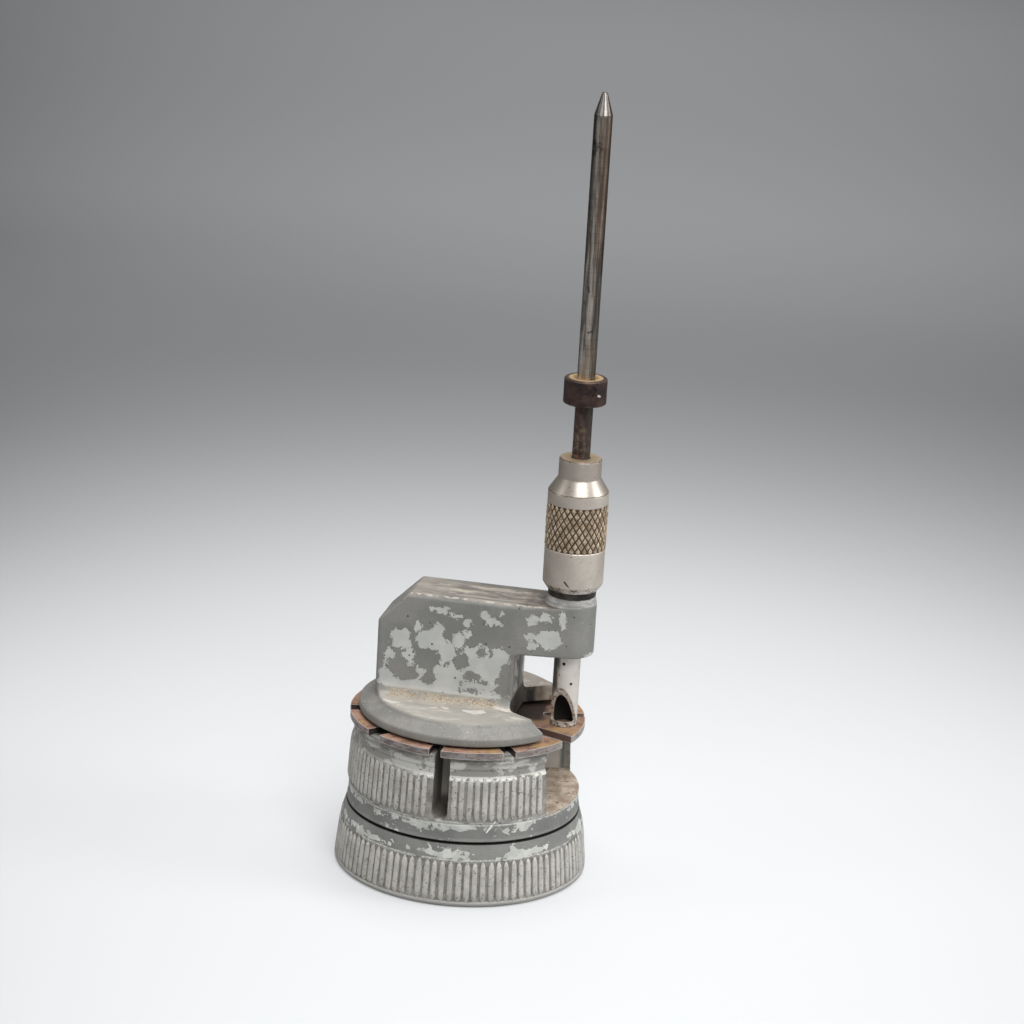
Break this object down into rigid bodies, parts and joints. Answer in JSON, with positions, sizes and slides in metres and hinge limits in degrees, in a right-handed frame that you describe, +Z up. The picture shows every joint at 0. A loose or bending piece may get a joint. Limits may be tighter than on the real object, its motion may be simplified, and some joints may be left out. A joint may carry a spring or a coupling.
{
  "type": "roller remover",
  "caption": "Bench tool with a guided punch on a C-shaped frame over a slotted disc, a ribbed drum and a ribbed foot; it presses a roller off a balance staff.",
  "frame": {"origin": "centre of the foot's bottom face, on the axis of the foot, the drum and the slotted disc", "axes": "+Z up along the tool and parallel to the punch, +X along the arm towards the punch axis"},
  "size_m": [0.0458, 0.0458, 0.142],
  "materials": {
    "cast_body": "grey paint worn to the casting",
    "frame_paint": "grey paint, flaked",
    "bronze": "plain turned bronze",
    "disc_steel": "bare steel, browned",
    "black_steel": "blackened steel",
    "bright_steel": "turned steel",
    "nickel": "satin nickel plate, worn",
    "punch_steel": "drill rod, tarnished",
    "collar_steel": "browned steel"
  },
  "bodies": {
    "foot": {"foot": "cast_body", "foot_bush": "bronze", "thrust_washer": "bronze", "spring_washer": "bright_steel"},
    "tower": {"drum": "cast_body", "spindle": "bright_steel", "plain_washer": "bright_steel", "spindle_nut": "bright_steel", "nut_pin": "bright_steel", "key_pins": "bright_steel", "disc_washer": "bright_steel", "frame": "frame_paint", "spindle_lock_screw": "black_steel", "neck_sleeve": "black_steel", "tube_key_screw": "black_steel"},
    "index_disc": {"slotted_disc": "disc_steel"},
    "tube": {"guide_tube": "nickel"},
    "thimble": {"thimble": "nickel", "thimble_washer": "bronze", "tube_snap_ring": "black_steel", "friction_sleeve": "bronze"},
    "punch": {"punch_rod": "punch_steel", "stop_collar": "collar_steel", "collar_pin": "collar_steel"}
  },
  "joints": [
    {"name": "foot_swivel", "type": "hinge", "parent": "foot", "child": "tower", "pos_m": [0, 0, 0.0115], "axis": [0, 0, 1], "continuous": true},
    {"name": "disc_index", "type": "hinge", "parent": "tower", "child": "index_disc", "pos_m": [0, 0, 0.0278], "axis": [0, 0, 1], "continuous": true},
    {"name": "tube_lift", "type": "slide", "parent": "tower", "child": "tube", "axis": [0, 0, 1], "range_m": [0, 0.008]},
    {"name": "thimble_turn", "type": "hinge", "parent": "tube", "child": "thimble", "pos_m": [0.0175, 0, 0.062], "axis": [0, 0, 1], "range_deg": [0, 2880]},
    {"name": "punch_slide", "type": "slide", "parent": "tube", "child": "punch", "axis": [0, 0, 1], "range_m": [-0.0098, 0.03]}
  ],
  "couplings": [
    {"joint": "tube_lift", "follows": "thimble_turn", "m_per_rad": 0.00015915}
  ]
}
